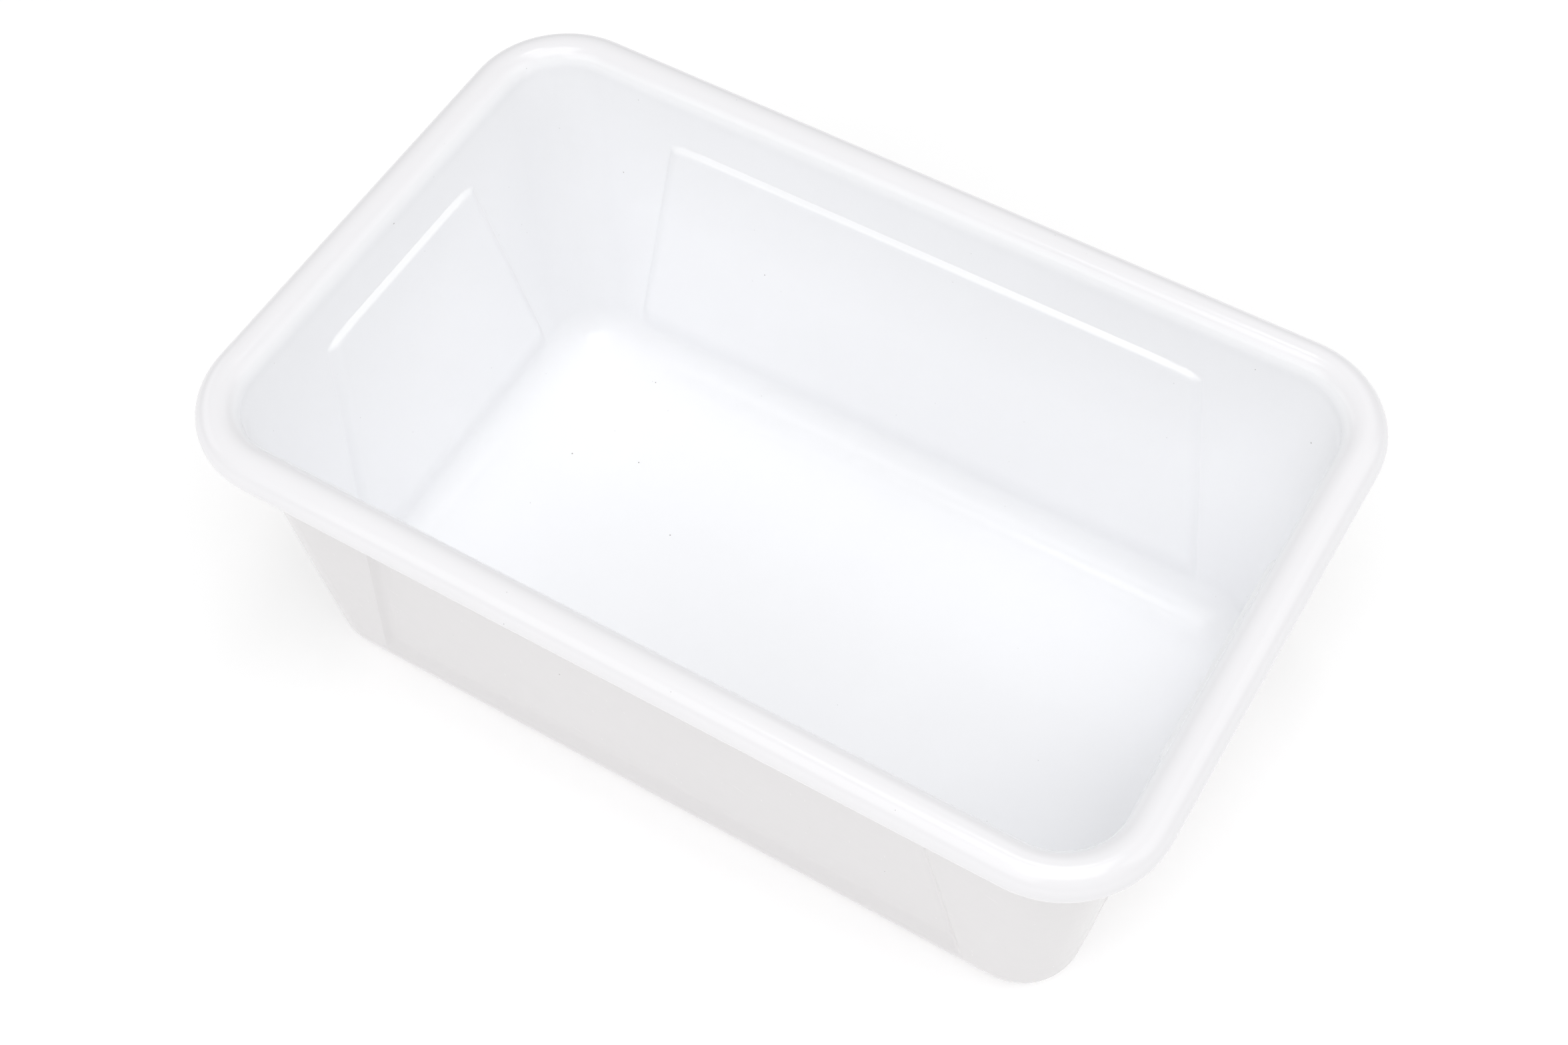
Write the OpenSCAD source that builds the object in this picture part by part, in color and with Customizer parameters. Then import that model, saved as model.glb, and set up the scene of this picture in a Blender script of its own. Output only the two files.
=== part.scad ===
// Deep rectangular tub with a rolled rim.
// Millimetres, +Z up. The origin is the middle of the underside and X runs along the length.

/* [Overall] */
// Length over the rim
tub_length = 280; // [250:5:340]
// Width over the rim
tub_width = 179; // [165:1:220]
// Height from the underside to the top of the rim
tub_height = 115; // [105:1:150]

/* [Walls] */
// Wall and floor thickness
wall = 2; // [1.6:0.1:2.4]
// Inward lean of the two short walls, in degrees
short_wall_draft = 5.2; // [4:0.1:6]
// Inward lean of the two long walls, in degrees
long_wall_draft = 5; // [4:0.1:6]
// Inside corner radius where the walls meet the rim
corner_top = 17.9; // [17:0.1:20]
// Inside corner radius where the walls meet the floor
corner_floor = 15.2; // [14:0.1:17]
// Inside radius between the walls and the floor
floor_fillet = 12; // [9:0.5:13]

/* [Rolled rim] */
// Outside diameter of the roll
roll_d = 11.8; // [10:0.1:13]
// How far round the sheet is rolled before its edge ends beside the wall, in degrees
roll_turn = 312; // [280:1:312]

/* [Stepped panels] */
// How far a panel's face stands in from its wall
panel_step = 2; // [1:0.1:2.4]
// Height of a panel's top edge above the underside
panel_top = 95.5; // [80:0.5:97]
// Drop of the sloping ledge along a panel's top edge
panel_ledge = 1.4; // [0.5:0.1:3]
// Height of a panel's bottom edge above the underside
panel_bottom = 10; // [10:0.5:24]
// Height over which a panel's face runs back to the wall at its bottom edge
panel_fade = 9; // [6:1:20]
// Distance of a panel's top corners from the ends of its wall
panel_inset_top = 42; // [36:1:50]
// Distance of a panel's bottom corners from the ends of its wall
panel_inset_bottom = 21; // [20:1:40]
// Corner radius of a panel's outline
panel_corner = 4; // [2:0.5:6]

/* [Hidden] */
$fn = 96;
plastic = [0.95, 0.955, 0.965];
arc_steps = 8;
clear = 5;
roll_r = roll_d / 2;
// The walls end and the roll begins at the height of the roll's middle
seam_z = tub_height - roll_r;
seam_x = tub_length / 2 - roll_d;
seam_y = tub_width / 2 - roll_d;
lean_x = tan(short_wall_draft);
lean_y = tan(long_wall_draft);
// The two arcs of the rounded foot share this height as their centre
foot_z = floor_fillet + wall;
// The foot's upright sides cross the leaning walls at this height
cross_z = foot_z + 0.5;
foot_x = inside_x(cross_z);
foot_y = inside_y(cross_z);
foot_corner = inside_corner(cross_z);
// The walls reach this far below the crossing, and the foot as far above it
overlap = 1.5;
// The leaning corners lie this little inside the flat walls, which gives the flat walls plain edges
corner_relief = 0.03;

// The sign of X and of Y at each corner, and the turn of a quarter round there
CORNERS = [[1, 1, 0], [-1, 1, 90], [-1, -1, 180], [1, -1, 270]];

// Inside half length, half width and corner radius at the height z
function inside_x(z) = seam_x - (seam_z - z) * lean_x;
function inside_y(z) = seam_y - (seam_z - z) * lean_y;
function inside_corner(z) = corner_floor + (corner_top - corner_floor) * z / seam_z;

// A closed outline whose corner i is rounded by an arc of radius r
function unit(v) = v / norm(v);
function corner_arc(a, b, c, r) =
    let (u = unit(a - b), v = unit(c - b),
         half = acos(u * v) / 2,
         centre = b + unit(u + v) * r / sin(half),
         from = b + u * r / tan(half) - centre,
         to = b + v * r / tan(half) - centre)
    [for (i = [0 : arc_steps])
        let (w = unit(from * (arc_steps - i) + to * i)) centre + r * w];
function rounded(points, r) =
    let (n = len(points))
    [for (i = [0 : n - 1])
        each corner_arc(points[(i + n - 1) % n], points[i], points[(i + 1) % n], r)];

// Copies of a shape that is built at the +X +Y corner, turned to all four corners
module at_corners(x, y) {
    for (side = CORNERS)
        translate([side.x * x, side.y * y, 0])
            rotate([0, 0, side.z])
                children();
}

// The profile drawn outward and up, run straight along a wall at the distance out
module straight(length, out) {
    translate([out, 0, 0])
        rotate([90, 0, 0])
            linear_extrude(length, center = true)
                children();
}

// A profile run straight along all four sides between the corner centres x, y
module along_sides(x, y) {
    for (turn = [0, 180])
        rotate([0, 0, turn]) {
            straight(2 * y, x) children();
            rotate([0, 0, 90])
                straight(2 * x, y) children();
        }
}

// A slab whose half length and half width change evenly from z0 to z1
module frustum(z0, z1, x0, x1, y0, y1) {
    intersection() {
        straight(2 * max(y0, y1) + clear, 0)
            polygon([[-x0, z0], [x0, z0], [x1, z1], [-x1, z1]]);
        rotate([0, 0, 90])
            straight(2 * max(x0, x1) + clear, 0)
                polygon([[-y0, z0], [y0, z0], [y1, z1], [-y1, z1]]);
    }
}

// The space inside the leaning walls, made larger on every side by grow. It reaches past the
// walls' height at both ends
module drafted_block(grow) {
    z0 = cross_z - overlap;
    z1 = seam_z + overlap;
    r0 = inside_corner(z0);
    r1 = inside_corner(z1);
    x0 = inside_x(z0) - r0;
    y0 = inside_y(z0) - r0;
    x1 = inside_x(z1) - r1;
    y1 = inside_y(z1) - r1;
    height = z1 - z0;
    round_grow = grow - corner_relief;
    frustum(z0, z1, x0 + r0 + grow, x1 + r1 + grow, y0, y1);
    frustum(z0, z1, x0, x1, y0 + r0 + grow, y1 + r1 + grow);
    for (side = CORNERS)
        translate([side.x * x0, side.y * y0, z0])
            multmatrix([[1, 0, side.x * (x1 - x0) / height, 0],
                        [0, 1, side.y * (y1 - y0) / height, 0],
                        [0, 0, 1, 0]])
                rotate([0, 0, side.z])
                    rotate_extrude(angle = 90)
                        polygon([[0, 0], [r0 + round_grow, 0],
                                 [r1 + round_grow, height], [0, height]]);
}

// The rounded foot under the walls, whose edge is a quarter round of the radius arc
module rounded_foot(arc) {
    x = foot_x - foot_corner;
    y = foot_y - foot_corner;
    translate([0, 0, foot_z]) {
        at_corners(x, y)
            rotate_extrude(angle = 90)
                foot_profile(arc);
        along_sides(x, y)
            foot_profile(arc);
        translate([-x, -y, -arc])
            cube([2 * x, 2 * y, arc + cross_z - foot_z + overlap]);
    }
}

// The foot's section out from a corner's centre: a quarter round with an upright side above it
module foot_profile(arc) {
    ring = foot_corner - floor_fillet;
    above = cross_z - foot_z + overlap;
    translate([0, -arc])
        square([ring, arc + above]);
    translate([ring, 0]) {
        square([arc, above]);
        intersection() {
            circle(arc);
            translate([0, -arc])
                square(arc);
        }
    }
}

// A stepped panel as a solid that reaches outward from its face. The wall's surface is at the
// distance out at z = 0 and leans outward as it rises
module panel(out, lean, half_top, half_bottom, top) {
    function at(z, step) = [out + z * lean - step, z];
    intersection() {
        straight(2 * half_bottom + clear, 0)
            polygon([
                at(panel_bottom, 0),
                at(panel_bottom + panel_fade, panel_step),
                at(top - panel_ledge, panel_step),
                at(top, 0),
                at(top, -clear),
                at(panel_bottom, -clear)]);
        translate([out / 2, 0, 0])
            rotate([90, 0, 90])
                linear_extrude(out)
                    polygon(rounded([
                        [-half_bottom, panel_bottom], [half_bottom, panel_bottom],
                        [half_top, top], [-half_top, top]], panel_corner));
    }
}

// The four panels on the surface that lies grow outside the inner one. Their edges move in by
// grow too, and their tops by half of it, which keeps the sheet as thick round the steps
module panels(grow) {
    top = panel_top - grow / 2;
    inset_top = panel_inset_top + grow;
    inset_bottom = panel_inset_bottom + grow;
    for (turn = [0, 180])
        rotate([0, 0, turn]) {
            panel(inside_x(0) + grow, lean_x, inside_y(top) - inset_top,
                  inside_y(panel_bottom) - inset_bottom, top);
            rotate([0, 0, 90])
                panel(inside_y(0) + grow, lean_y, inside_x(top) - inset_top,
                      inside_x(panel_bottom) - inset_bottom, top);
        }
}

// Section of the roll about its own middle: the sheet leaves the wall's top edge on the inner
// side, goes over the top and round underneath, and stops just short of the wall
module roll_profile() {
    end = 180 - roll_turn;
    difference() {
        circle(roll_r);
        circle(roll_r - wall);
        polygon([[0, 0], [-2 * roll_d, 0], [-2 * roll_d, -2 * roll_d],
                 [2 * roll_d * cos(end), 2 * roll_d * sin(end)]]);
    }
}

module tub_body() {
    color(plastic)
        difference() {
            union() {
                drafted_block(wall);
                rounded_foot(floor_fillet + wall);
            }
            difference() {
                union() {
                    drafted_block(0);
                    rounded_foot(floor_fillet);
                }
                panels(0);
            }
            panels(wall);
            translate([-tub_length / 2, -tub_width / 2, seam_z])
                cube([tub_length, tub_width, clear]);
        }
}

module rolled_rim() {
    path_r = corner_top + roll_r;
    x = seam_x - corner_top;
    y = seam_y - corner_top;
    color(plastic)
        translate([0, 0, seam_z])
            union() {
                at_corners(x, y)
                    rotate_extrude(angle = 90)
                        translate([path_r, 0])
                            roll_profile();
                along_sides(x, y)
                    translate([path_r, 0])
                        roll_profile();
            }
}

tub_body();
rolled_rim();
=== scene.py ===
"""A deep white plastic tub with a rolled rim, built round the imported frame. Metres, +Z up."""

import math

import bmesh
import bpy
import numpy as np
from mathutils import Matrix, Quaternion, Vector


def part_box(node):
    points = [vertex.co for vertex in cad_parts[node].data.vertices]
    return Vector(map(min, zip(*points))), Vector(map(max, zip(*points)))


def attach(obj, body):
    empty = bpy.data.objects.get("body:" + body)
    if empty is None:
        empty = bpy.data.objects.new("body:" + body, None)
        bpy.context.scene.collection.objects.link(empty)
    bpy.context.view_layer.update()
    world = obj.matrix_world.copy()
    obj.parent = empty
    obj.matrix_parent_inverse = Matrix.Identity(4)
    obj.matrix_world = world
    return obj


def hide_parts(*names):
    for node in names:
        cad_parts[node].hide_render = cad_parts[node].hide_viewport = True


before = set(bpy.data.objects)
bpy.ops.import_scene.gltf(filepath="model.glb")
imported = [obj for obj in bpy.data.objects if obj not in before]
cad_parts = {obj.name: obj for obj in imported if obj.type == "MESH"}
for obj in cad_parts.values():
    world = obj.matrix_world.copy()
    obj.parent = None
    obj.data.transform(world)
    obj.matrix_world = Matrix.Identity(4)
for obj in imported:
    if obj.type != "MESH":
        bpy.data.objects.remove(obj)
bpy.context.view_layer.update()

# ---------------------------------------------------------------------------
# Dimensions. What the frame gives is measured on it. The rest are the design's own values.

MM = 0.001
_, RIM_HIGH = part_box("rolled_rim")
_, BODY_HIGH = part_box("tub_body")
SEAM_Z = BODY_HIGH.z
ROLL_R = RIM_HIGH.z - SEAM_Z
SEAM_X = RIM_HIGH.x - 2 * ROLL_R
SEAM_Y = RIM_HIGH.y - 2 * ROLL_R
WALL = BODY_HIGH.x - SEAM_X
LEAN_X = math.tan(math.radians(5.2))
LEAN_Y = math.tan(math.radians(5))
CORNER_TOP = 17.9 * MM
CORNER_FLOOR = 15.2 * MM
FLOOR_FILLET = 12 * MM
ROLL_TURN = math.radians(312)

# The walls turn upright over this height, to run into the roll without a crease
TOP_BLEND = 5 * MM

# The stepped panels. A ledge runs along the top over PANEL_RAMP and along the slanted ends over
# PANEL_END_RAMP, and the face fades out over PANEL_FADE above PANEL_BOTTOM. The insets are measured
# from the ends of the wall, at the panel's top and bottom. LEDGE_HOLLOW is how much of a ledge's
# width goes to the hollow at its foot.
PANEL_STEP = 1.7 * MM
PANEL_TOP = 95.5 * MM
PANEL_BOTTOM = 8 * MM
PANEL_FADE = 14 * MM
PANEL_RAMP = 1.1 * MM
PANEL_END_RAMP = 4 * MM
PANEL_INSET_TOP = 42 * MM
PANEL_INSET_BOTTOM = 20.5 * MM
PANEL_CORNER = 2.5 * MM
LEDGE_HOLLOW = 0.1

# Where the roll's painted light and shade change, as parts of its radius above its middle: at the
# shoulder on its inner side, and low down on its outer side
SHOULDER_START = 0.5
SHOULDER_WIDTH = 0.35
OUTER_START = -0.9

# The plastic's colour inside the tub, on the rim and outside, and the colour of specks and dirt. The
# three plastic colours are one white plastic with painted light and shade: painted brighter and bluer
# inside the tub, and darker outside it.
INSIDE_PAINTED_LIGHT = (0.957, 0.961, 0.974)
RIM_PAINTED_LIGHT = (0.898, 0.892, 0.91)
OUTSIDE_PAINTED_SHADE = (0.785, 0.77, 0.775)
SOIL = (0.16, 0.14, 0.13)

# The four sides, each with the direction out of it and the direction along it
SIDES = [(Vector((1, 0)), Vector((0, 1))), (Vector((0, 1)), Vector((-1, 0))),
         (Vector((-1, 0)), Vector((0, -1))), (Vector((0, -1)), Vector((1, 0)))]

# Mesh density of the tub. The middle steps are for the short sides and the long ones
CORNER_STEPS = 14
END_STEPS = 3
MIDDLE_STEPS = (16, 28)
FILLET_STEPS = 16
ABOVE_PANEL_ROWS = 9
PANEL_ROWS = 14
FADE_ROWS = 8

# Mesh density of the rim: round the roll's outer face, its free edge and its inner face, and then
# along the sides and the corners
OVER_STEPS = 72
TIP_STEPS = 10
UNDER_STEPS = 48
RIM_SIDE_STEPS = 24
RIM_CORNER_STEPS = 20

# Edges steeper than this stay sharp
SHARP_ANGLE = math.radians(50)

# Columns and rows are close together across a panel's edge. Positive is inside the panel.
EDGE_OFFSETS = MM * np.array([-3, -1.4, -0.6, -0.2, 0, 0.12, 0.27, 0.45, 0.65, 0.9,
                              1.2, 1.5, 1.9, 2.4, 3, 3.7, 5])


def smooth(t):
    """0 to 1 with a level start and end."""
    t = np.clip(t, 0, 1)
    return t * t * (3 - 2 * t)


def ledge(t):
    """The height of a ledge across its width: a small hollow first, then a broad rounded edge."""
    t = np.clip(t, 0, 1)
    t = (1 + LEDGE_HOLLOW) * t * t / (t + LEDGE_HOLLOW)
    return 1 - (1 - t) ** 2


def drop(z):
    """The height below the seam by which the walls have leaned in at z."""
    depth = SEAM_Z - z
    t = depth / TOP_BLEND
    return TOP_BLEND * t * t * (2 - t) if t < 1 else depth


def outline(z, grow):
    """Half length, half width and corner radius of the walls at z, made larger by grow."""
    corner = CORNER_FLOOR + (CORNER_TOP - CORNER_FLOOR) * z / SEAM_Z
    return (SEAM_X - LEAN_X * drop(z) + grow, SEAM_Y - LEAN_Y * drop(z) + grow, corner + grow, z)


def rows(grow):
    """The outlines of one skin, from the walls' top to the edge of the flat floor."""
    panel_top = PANEL_TOP - grow / 2
    arc = FLOOR_FILLET + grow
    centre_z = FLOOR_FILLET + WALL
    start = -math.atan((LEAN_X + LEAN_Y) / 2)
    foot_z = centre_z + arc * math.sin(start)
    # Just above the height where the panels begin to fade out
    fade_z = PANEL_BOTTOM + PANEL_FADE + MM
    heights = [
        *np.linspace(SEAM_Z, panel_top - EDGE_OFFSETS[0], ABOVE_PANEL_ROWS)[:-1],
        *(panel_top - EDGE_OFFSETS),
        *np.linspace(panel_top - EDGE_OFFSETS[-1], fade_z, PANEL_ROWS)[1:-1],
        *np.linspace(fade_z, foot_z, FADE_ROWS)]
    found = [outline(float(z), grow) for z in heights]
    half_x, half_y, corner, _ = found[-1]
    for angle in np.linspace(start, -math.pi / 2, FILLET_STEPS + 1)[1:]:
        inward = arc * (math.cos(angle) - math.cos(start))
        found.append((half_x + inward, half_y + inward, corner + inward,
                      centre_z + arc * math.sin(angle)))
    return found


def panel_half(side, z, grow):
    """Half the width of a side's panel at z, and how far its slanted ends are from upright."""
    axis = (side + 1) % 2
    top = PANEL_TOP - grow / 2
    half_top = outline(top, 0)[axis] - PANEL_INSET_TOP - grow
    half_bottom = outline(PANEL_BOTTOM, 0)[axis] - PANEL_INSET_BOTTOM - grow
    slope = (half_top - half_bottom) / (top - PANEL_BOTTOM)
    return half_bottom + slope * (np.clip(z, PANEL_BOTTOM, top) - PANEL_BOTTOM), slope


def panel_step(along, z, half, slope, grow):
    """How far the panel's face stands in from the wall at a place along it."""
    below_top = PANEL_TOP - grow / 2 - z
    # The distance in from the slanted end, scaled so that the ends get their own ramp
    inside_end = (half - np.abs(along)) / math.hypot(1, slope) * PANEL_RAMP / PANEL_END_RAMP
    edge = PANEL_CORNER - np.hypot(np.maximum(PANEL_CORNER - below_top, 0),
                                   np.maximum(PANEL_CORNER - inside_end, 0))
    return PANEL_STEP * ledge(edge / PANEL_RAMP) * smooth((z - PANEL_BOTTOM) / PANEL_FADE)


def columns(reach, half, middle_steps):
    """Places along a side from -reach to reach, close together at a panel's ends."""
    right_edge = (half - EDGE_OFFSETS)[::-1]
    middle = np.linspace(-right_edge[0], right_edge[0], middle_steps + 1)[1:-1]
    end = np.linspace(right_edge[-1], reach, END_STEPS + 1)[1:]
    right = np.concatenate([right_edge, end])
    return np.concatenate([-right[::-1], middle, right])


def ring(row, grow):
    """The points of one closed outline. Each side is followed by the corner at its far end."""
    half_x, half_y, corner, z = row
    halves = (half_x, half_y)
    points = []
    for i, (out, along) in enumerate(SIDES):
        half_out, half_along = halves[i % 2], halves[(i + 1) % 2]
        reach = half_along - corner
        half, slope = panel_half(i, z, grow)
        places = columns(reach, half, MIDDLE_STEPS[i % 2])
        steps = panel_step(places, z, half, slope, grow)
        for place, step in zip(places.tolist(), steps.tolist()):
            points.append((*(out * (half_out - step) + along * place), z))
        centre = out * (half_out - corner) + along * reach
        for j in range(1, CORNER_STEPS):
            turn = math.pi / 2 * j / CORNER_STEPS
            points.append((*(centre + (out * math.cos(turn) + along * math.sin(turn)) * corner), z))
    return np.array(points)


def side_counts():
    """How many points each side and the corner after it take in a ring."""
    edge = 2 * (len(EDGE_OFFSETS) + END_STEPS)
    return [edge + MIDDLE_STEPS[i % 2] - 1 + CORNER_STEPS - 1 for i in range(len(SIDES))]


def floor_patch(edge, first):
    """Fills a ring with a grid of four sides, whose corners are the middles of the ring's corners.
    Returns the new points and the quads, which use the ring's own numbers from first."""
    counts = side_counts()
    half_corner = CORNER_STEPS // 2
    order = np.roll(np.arange(len(edge)), half_corner)
    starts = np.concatenate([[0], np.cumsum(counts)])
    loops = [np.take(order, np.arange(starts[i], starts[i + 1] + 1), mode="wrap") for i in range(4)]
    east, north, west, south = loops[0], loops[1][::-1], loops[2][::-1], loops[3]
    wide, high = len(south), len(east)
    grid = np.zeros((high, wide), int)
    grid[:, -1], grid[:, 0], grid[0], grid[-1] = east, west, south, north
    points = []
    for j in range(1, high - 1):
        v = j / (high - 1)
        for i in range(1, wide - 1):
            u = i / (wide - 1)
            across = (1 - u) * edge[west[j]] + u * edge[east[j]]
            up = (1 - v) * edge[south[i]] + v * edge[north[i]]
            corners = ((1 - u) * (1 - v) * edge[south[0]] + u * (1 - v) * edge[south[-1]]
                       + (1 - u) * v * edge[north[0]] + u * v * edge[north[-1]])
            grid[j, i] = len(edge) + len(points)
            points.append(across + up - corners)
    grid += first
    quads = [(grid[j, i], grid[j, i + 1], grid[j + 1, i + 1], grid[j + 1, i])
             for j in range(high - 1) for i in range(wide - 1)]
    return points, quads


def bands(count, size, first=0, closed=False):
    """Quads between following rings of size points each."""
    quads = []
    for row in range(count if closed else count - 1):
        low, high = first + row * size, first + (row + 1) % count * size
        quads += [(low + i, low + (i + 1) % size, high + (i + 1) % size, high + i)
                  for i in range(size)]
    return quads


def make_piece(name, points, quads, painted_shades, node):
    """A smooth closed mesh object that stands for a CAD node. Its painted shade tones run from 0 inside
    the tub to 1 outside it, and choose the plastic's colour with its painted light and shade."""
    mesh = bpy.data.meshes.new(name)
    mesh.from_pydata([tuple(p) for p in points], [], [tuple(int(i) for i in q) for q in quads])
    work = bmesh.new()
    work.from_mesh(mesh)
    bmesh.ops.recalc_face_normals(work, faces=work.faces)
    work.to_mesh(mesh)
    work.free()
    mesh.polygons.foreach_set("use_smooth", [True] * len(mesh.polygons))
    mesh.set_sharp_from_angle(angle=SHARP_ANGLE)
    # Stores the painted shade tone that chooses the painted light and shade colour
    mesh.attributes.new("painted_shade", "FLOAT", "POINT").data.foreach_set("value", painted_shades)
    piece = bpy.data.objects.new(name, mesh)
    bpy.context.scene.collection.objects.link(piece)
    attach(piece, "root")
    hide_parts(node)
    return piece


def make_tub_shell():
    """The walls and the floor: an inner skin, an outer skin and the narrow top edge between them."""
    points, quads, painted_shades, tops = [], [], [], []
    for painted_shade, grow in enumerate((0, WALL)):
        rings = [ring(row, grow) for row in rows(grow)]
        first = len(points)
        tops.append(first)
        size = len(rings[0])
        for one in rings:
            points.extend(one)
        quads += bands(len(rings), size, first)
        # The patch's own points follow the last ring
        last = len(points) - size
        extra, patch = floor_patch(rings[-1], last)
        points.extend(extra)
        quads += patch
        # The inner skin is painted as lit and the outer skin as shaded
        painted_shades += [painted_shade] * (len(points) - first)
    quads += [(tops[0] + i, tops[0] + (i + 1) % size, tops[1] + (i + 1) % size, tops[1] + i)
              for i in range(size)]
    return make_piece("tub_shell", points, quads, painted_shades, "tub_body")


def roll_section():
    """The section of the roll about its own middle, as a closed loop of (outward, up). The sheet's
    free edge is a half round."""
    middle_r = ROLL_R - WALL / 2
    end = math.pi - ROLL_TURN + WALL / 2 / middle_r
    over = [(ROLL_R * math.cos(a), ROLL_R * math.sin(a))
            for a in np.linspace(math.pi, end, OVER_STEPS + 1)]
    tip_x, tip_z = middle_r * math.cos(end), middle_r * math.sin(end)
    tip = [(tip_x + WALL / 2 * math.cos(a), tip_z + WALL / 2 * math.sin(a))
           for a in np.linspace(end, end - math.pi, TIP_STEPS + 1)[1:-1]]
    under_r = ROLL_R - WALL
    under = [(under_r * math.cos(a), under_r * math.sin(a))
             for a in np.linspace(end, math.pi, UNDER_STEPS + 1)]
    return over + tip + under


def roll_painted_shade(outward, up):
    """The painted shade round the roll: painted like the inside up to the shoulder on its inner side,
    the rim's painted tone over the top, and painted like the darker outside low down on its outer side."""
    if outward < 0:
        return 0.5 * float(smooth((up / ROLL_R - SHOULDER_START) / SHOULDER_WIDTH))
    return 1 - 0.5 * float(smooth(up / ROLL_R - OUTER_START))


def make_roll():
    """The rim: the roll's section run round the tub."""
    section = roll_section()
    path_r = CORNER_TOP + ROLL_R
    reaches = (SEAM_X - CORNER_TOP, SEAM_Y - CORNER_TOP)
    points, painted_shades, count = [], [], 0
    # Painted light and shade round the roll's section
    section_painted_shades = [roll_painted_shade(*place) for place in section]
    for i, (out, along) in enumerate(SIDES):
        middle = out * reaches[i % 2]
        reach = reaches[(i + 1) % 2]
        stations = [(middle + along * s, out) for s in np.linspace(-reach, reach, RIM_SIDE_STEPS + 1)]
        for j in range(1, RIM_CORNER_STEPS):
            turn = math.pi / 2 * j / RIM_CORNER_STEPS
            stations.append((middle + along * reach, out * math.cos(turn) + along * math.sin(turn)))
        for centre, direction in stations:
            count += 1
            painted_shades += section_painted_shades
            for outward, up in section:
                points.append((*(centre + direction * (path_r + outward)), SEAM_Z + up))
    quads = bands(count, len(section), closed=True)
    return make_piece("rim_roll", points, quads, painted_shades, "rolled_rim")


# ---------------------------------------------------------------------------
# Materials

# How much soil each kind of mark holds, from 0 to 1
DARK_SPECK_SOIL = 0.8
FAINT_SPECK_SOIL = 0.3
SCRATCH_SOIL = 0.1
WEAR_SOIL = 0.16
CLOUD_SOIL = 0.012

# The clean plastic's roughness varies by the spread either way. Full wear has at least its own
# roughness, and a scratch adds to what is there.
ROUGHNESS_SPREAD = 0.04
WEAR_ROUGHNESS = 0.26
SCRATCH_ROUGHNESS = 0.2

SCRATCH_CELL = 1.6 * MM
SCRATCH_HALF_WIDTH = 0.07 * MM
WAVE_HEIGHT = 0.11 * MM


def add(material, kind, inputs, **settings):
    """A new node of one kind. Each of its inputs takes a value or another node's output."""
    tree = material.node_tree
    node = tree.nodes.new(kind)
    for key, value in settings.items():
        setattr(node, key, value)
    for key, value in inputs.items():
        if isinstance(value, bpy.types.NodeSocket):
            tree.links.new(value, node.inputs[key])
        else:
            node.inputs[key].default_value = value
    return node.outputs[0]


def noise(material, place, scale, detail=2):
    """Soft noise from 0 to 1. Scale is in features per metre."""
    return add(material, "ShaderNodeTexNoise", {"Vector": place, "Scale": scale, "Detail": detail})


def fade(material, value, start, end, low=0, high=1):
    """Runs smoothly from low to high as value goes from start to end."""
    return add(material, "ShaderNodeMapRange",
               {"Value": value, "From Min": start, "From Max": end, "To Min": low, "To Max": high},
               interpolation_type="SMOOTHSTEP")


def calc(material, operation, first, second):
    """A math node's result. Both numbers may be values or other nodes' outputs."""
    return add(material, "ShaderNodeMath", {0: first, 1: second}, operation=operation)


def specks(material, place, cell, radius):
    """1 on small round specks of at most the radius, and 0 elsewhere. Each cell has one point, and
    shows a speck where that point is close to the surface."""
    distance = add(material, "ShaderNodeTexVoronoi", {"Vector": place, "Scale": 1 / cell})
    return fade(material, distance, radius / cell, 0.7 * radius / cell)


def scratches(material, place, turn, stretch):
    """1 on straight scratches that run one way. They are specks, drawn out along the turned X axis."""
    drawn = add(material, "ShaderNodeMapping",
                {"Vector": place, "Rotation": turn, "Scale": (stretch, 1, 1)}, vector_type="TEXTURE")
    return specks(material, drawn, SCRATCH_CELL, SCRATCH_HALF_WIDTH)


def mesh_painted_shade(material):
    """The painted light and shade tone that the mesh carries."""
    node = material.node_tree.nodes.new("ShaderNodeAttribute")
    node.attribute_name = "painted_shade"
    return node.outputs["Fac"]


def painted_light_colour(material, painted_shade):
    """The plastic's colour with painted light and shade, chosen by the mesh's painted shade tone."""
    ramp = material.node_tree.nodes.new("ShaderNodeValToRGB")
    material.node_tree.links.new(painted_shade, ramp.inputs["Fac"])
    stops = ramp.color_ramp.elements
    stops.new(0.5)
    for stop, colour in zip(stops, (INSIDE_PAINTED_LIGHT, RIM_PAINTED_LIGHT, OUTSIDE_PAINTED_SHADE)):
        stop.color = (*colour, 1)
    return ramp.outputs["Color"]


def edge_wear(material, place, painted_shade):
    """Rubbed dirt along the outer foot edge and low on the outer side of the rim, in broken patches.
    It hardly reaches the flat underside."""
    split = material.node_tree.nodes.new("ShaderNodeSeparateXYZ")
    material.node_tree.links.new(place, split.inputs[0])
    height = split.outputs["Z"]
    foot = calc(material, "MULTIPLY", fade(material, height, 5 * MM, MM),
                fade(material, height, -0.2 * MM, MM))
    lip = fade(material, height, SEAM_Z - 0.3 * ROLL_R, SEAM_Z - 0.9 * ROLL_R)
    under_rim = fade(material, height, SEAM_Z - 1.6 * ROLL_R, SEAM_Z - ROLL_R)
    edge = calc(material, "MAXIMUM", foot, calc(material, "MULTIPLY", lip, under_rim))
    patch = fade(material, noise(material, place, scale=130, detail=4), 0.5, 0.72)
    outside = fade(material, painted_shade, 0.6, 0.95)
    return calc(material, "MULTIPLY", calc(material, "MULTIPLY", edge, outside), patch)


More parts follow.
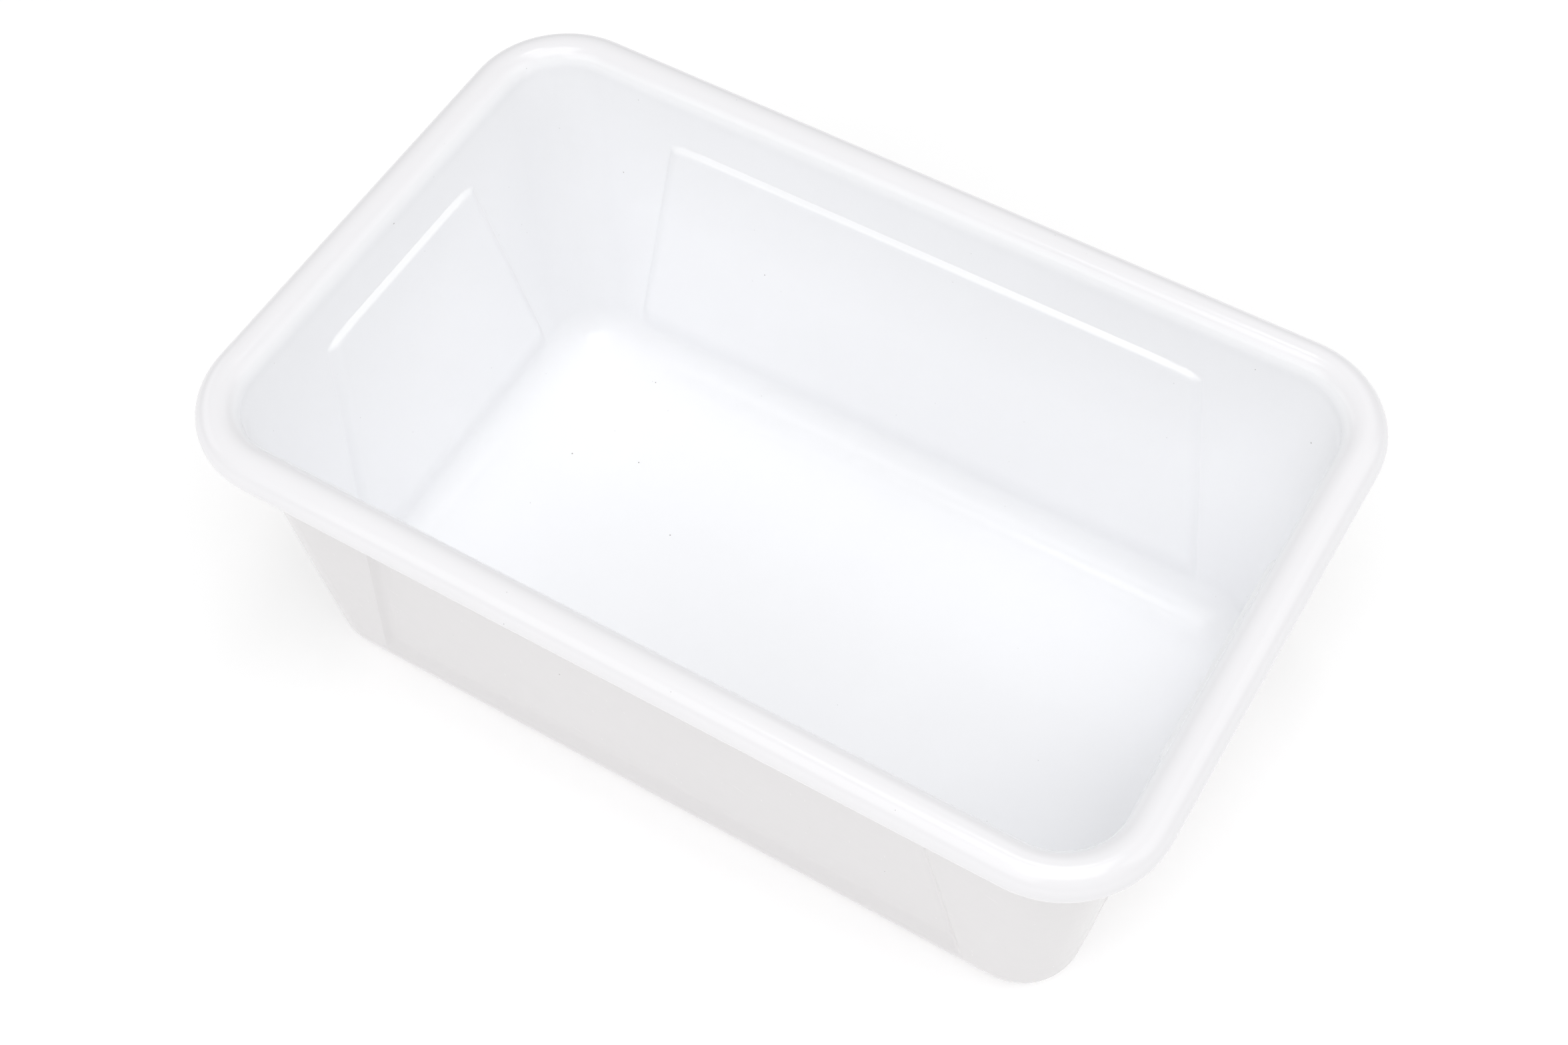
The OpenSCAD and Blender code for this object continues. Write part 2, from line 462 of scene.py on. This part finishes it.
def plastic(name, roughness, grain):
    """Moulded white plastic, painted brighter inside the tub and darker outside it as painted light and
    shade. The gloss is uneven over soft waves and a fine grain, and there are a few dark specks, faint
    scratches and worn edges."""
    material = bpy.data.materials.new(name)
    material.use_nodes = True
    shader = material.node_tree.nodes["Principled BSDF"]
    place = material.node_tree.nodes.new("ShaderNodeTexCoord").outputs["Object"]

    # The marks: scratches, worn edges and specks, over faint clouds
    level = scratches(material, place, turn=(0, 0.35, 0.06), stretch=70)
    steep = scratches(material, place, turn=(0.1, 1.3, 0.8), stretch=80)
    scratch = calc(material, "MAXIMUM", level, steep)
    # The painted shade tone, which also keeps the wear to the outside
    painted_shade = mesh_painted_shade(material)
    wear = edge_wear(material, place, painted_shade)
    dark = calc(material, "MULTIPLY", specks(material, place, cell=13 * MM, radius=0.26 * MM),
                DARK_SPECK_SOIL)
    faint = calc(material, "MULTIPLY", specks(material, place, cell=7 * MM, radius=0.17 * MM),
                 FAINT_SPECK_SOIL)
    rubbed = calc(material, "ADD", calc(material, "MULTIPLY", scratch, SCRATCH_SOIL),
                  calc(material, "MULTIPLY", wear, WEAR_SOIL))
    marks = calc(material, "ADD", rubbed, calc(material, "MAXIMUM", dark, faint))
    clouds = fade(material, noise(material, place, scale=14, detail=3), 0.3, 0.7,
                  low=0, high=CLOUD_SOIL)
    soil = add(material, "ShaderNodeMath", {0: marks, 1: clouds}, operation="ADD", use_clamp=True)

    # The colour sockets of a mix node have no names of their own
    mix_painted_light, mix_soil, mix_result = 6, 7, 2
    mixed = material.node_tree.nodes.new("ShaderNodeMix")
    mixed.data_type = "RGBA"
    material.node_tree.links.new(soil, mixed.inputs["Factor"])
    # The colour carries painted light and shade: brighter inside, darker outside
    material.node_tree.links.new(painted_light_colour(material, painted_shade), mixed.inputs[mix_painted_light])
    mixed.inputs[mix_soil].default_value = (*SOIL, 1)
    material.node_tree.links.new(mixed.outputs[mix_result], shader.inputs["Base Color"])

    # The gloss: uneven, and duller on worn edges and scratches
    uneven = fade(material, noise(material, place, scale=45, detail=3), 0.3, 0.7,
                  low=roughness - ROUGHNESS_SPREAD, high=roughness + ROUGHNESS_SPREAD)
    worn = calc(material, "MAXIMUM", uneven, calc(material, "MULTIPLY", wear, WEAR_ROUGHNESS))
    gloss = calc(material, "ADD", worn, calc(material, "MULTIPLY", scratch, SCRATCH_ROUGHNESS))
    material.node_tree.links.new(gloss, shader.inputs["Roughness"])

    # The relief, whose heights are real ones in metres
    waves = fade(material, noise(material, place, scale=24, detail=1), 0, 1, low=0, high=WAVE_HEIGHT)
    peel = fade(material, noise(material, place, scale=520, detail=2), 0, 1, low=0, high=grain)
    relief = add(material, "ShaderNodeBump",
                 {"Height": calc(material, "ADD", waves, peel), "Distance": 1.0, "Strength": 1.0})
    material.node_tree.links.new(relief, shader.inputs["Normal"])

    shader.inputs["IOR"].default_value = 1.5
    return material


# ---------------------------------------------------------------------------
# Floor, light and camera

FLOOR_HALF = 4
FLOOR_DROP = 0.3 * MM
FLOOR_GLOW = 0.2
SURROUND_STRENGTH = 0.415

# Each softbox: its name, azimuth and elevation in degrees, distance, width and height in metres, and
# its watts
SOFTBOXES = [
    ("overhead_softbox", 38, 70, 1.4, 1.1, 1.1, 8.3),
    ("overhead_lamp", 180, 77, 1.3, 0.25, 0.25, 0.8),
    ("front_softbox", -8, 36, 1.4, 1.2, 0.9, 4.1),
    ("right_softbox", 115, 36, 1.4, 1.2, 0.9, 3),
    ("left_softbox", -85, 25, 1.4, 1.2, 0.5, 1.4),
    ("back_softbox", 175, 42, 1.4, 1, 0.6, 0.9),
]

CAMERA_TARGET = Vector((-0.0046, 0.0042, 0.05))
CAMERA_AZIMUTH = 32.62
CAMERA_ELEVATION = 56.43
CAMERA_DISTANCE = 0.6681
CAMERA_ROLL = -2.09
CAMERA_LENS = 54.25
SENSOR_WIDTH = 36


def make_floor():
    """A plain pale floor, which isn't part of the object."""
    half = FLOOR_HALF
    mesh = bpy.data.meshes.new("floor")
    corners = [(-half, -half, 0), (half, -half, 0), (half, half, 0), (-half, half, 0)]
    mesh.from_pydata(corners, [], [(0, 1, 2, 3)])
    floor = bpy.data.objects.new("floor", mesh)
    floor.location.z = -FLOOR_DROP
    bpy.context.scene.collection.objects.link(floor)
    material = bpy.data.materials.new("floor_paper")
    material.use_nodes = True
    shader = material.node_tree.nodes["Principled BSDF"]
    shader.inputs["Base Color"].default_value = (0.9, 0.9, 0.9, 1)
    shader.inputs["Roughness"].default_value = 0.9
    shader.inputs["Emission Color"].default_value = (1, 1, 1, 1)
    shader.inputs["Emission Strength"].default_value = FLOOR_GLOW
    mesh.materials.append(material)


def direction(azimuth, elevation):
    """The unit vector towards a place that is azimuth degrees round from -Y and elevation degrees up."""
    turn, rise = math.radians(azimuth), math.radians(elevation)
    return Vector((math.sin(turn) * math.cos(rise), -math.cos(turn) * math.cos(rise), math.sin(rise)))


def softbox(name, azimuth, elevation, distance, width, height, watts):
    """A rectangular light that faces the tub."""
    data = bpy.data.lights.new(name, "AREA")
    data.shape = "RECTANGLE"
    data.size = width
    data.size_y = height
    data.energy = watts
    light = bpy.data.objects.new(name, data)
    back = direction(azimuth, elevation)
    light.location = Vector((0, 0, RIM_HIGH.z)) + back * distance
    light.rotation_mode = "QUATERNION"
    light.rotation_quaternion = (-back).to_track_quat("-Z", "Y")
    bpy.context.scene.collection.objects.link(light)


def make_light():
    """A pale surround, a broad softbox and a small lamp overhead, and a weaker softbox on each side."""
    world = bpy.data.worlds.new("studio")
    bpy.context.scene.world = world
    world.use_nodes = True
    background = world.node_tree.nodes["Background"]
    background.inputs["Color"].default_value = (1, 1, 1, 1)
    background.inputs["Strength"].default_value = SURROUND_STRENGTH
    for values in SOFTBOXES:
        softbox(*values)
    bpy.context.scene.view_settings.view_transform = "Standard"
    # White walls face each other, so light is followed over many turns
    bpy.context.scene.cycles.max_bounces = 24
    bpy.context.scene.cycles.diffuse_bounces = 16


def make_camera():
    """The camera looks down into the tub over one of its long sides."""
    back = direction(CAMERA_AZIMUTH, CAMERA_ELEVATION)
    data = bpy.data.cameras.new("camera")
    data.lens = CAMERA_LENS
    data.sensor_width = SENSOR_WIDTH
    camera = bpy.data.objects.new("camera", data)
    camera.location = CAMERA_TARGET + back * CAMERA_DISTANCE
    camera.rotation_mode = "QUATERNION"
    roll = Quaternion((0, 0, 1), math.radians(CAMERA_ROLL))
    camera.rotation_quaternion = (-back).to_track_quat("-Z", "Y") @ roll
    bpy.context.scene.collection.objects.link(camera)
    bpy.context.scene.camera = camera


make_camera()
shell = make_tub_shell()
roll = make_roll()
shell.data.materials.append(plastic("white_tub_plastic", roughness=0.21, grain=0.008 * MM))
roll.data.materials.append(plastic("white_rim_plastic", roughness=0.17, grain=0.004 * MM))
make_floor()
make_light()
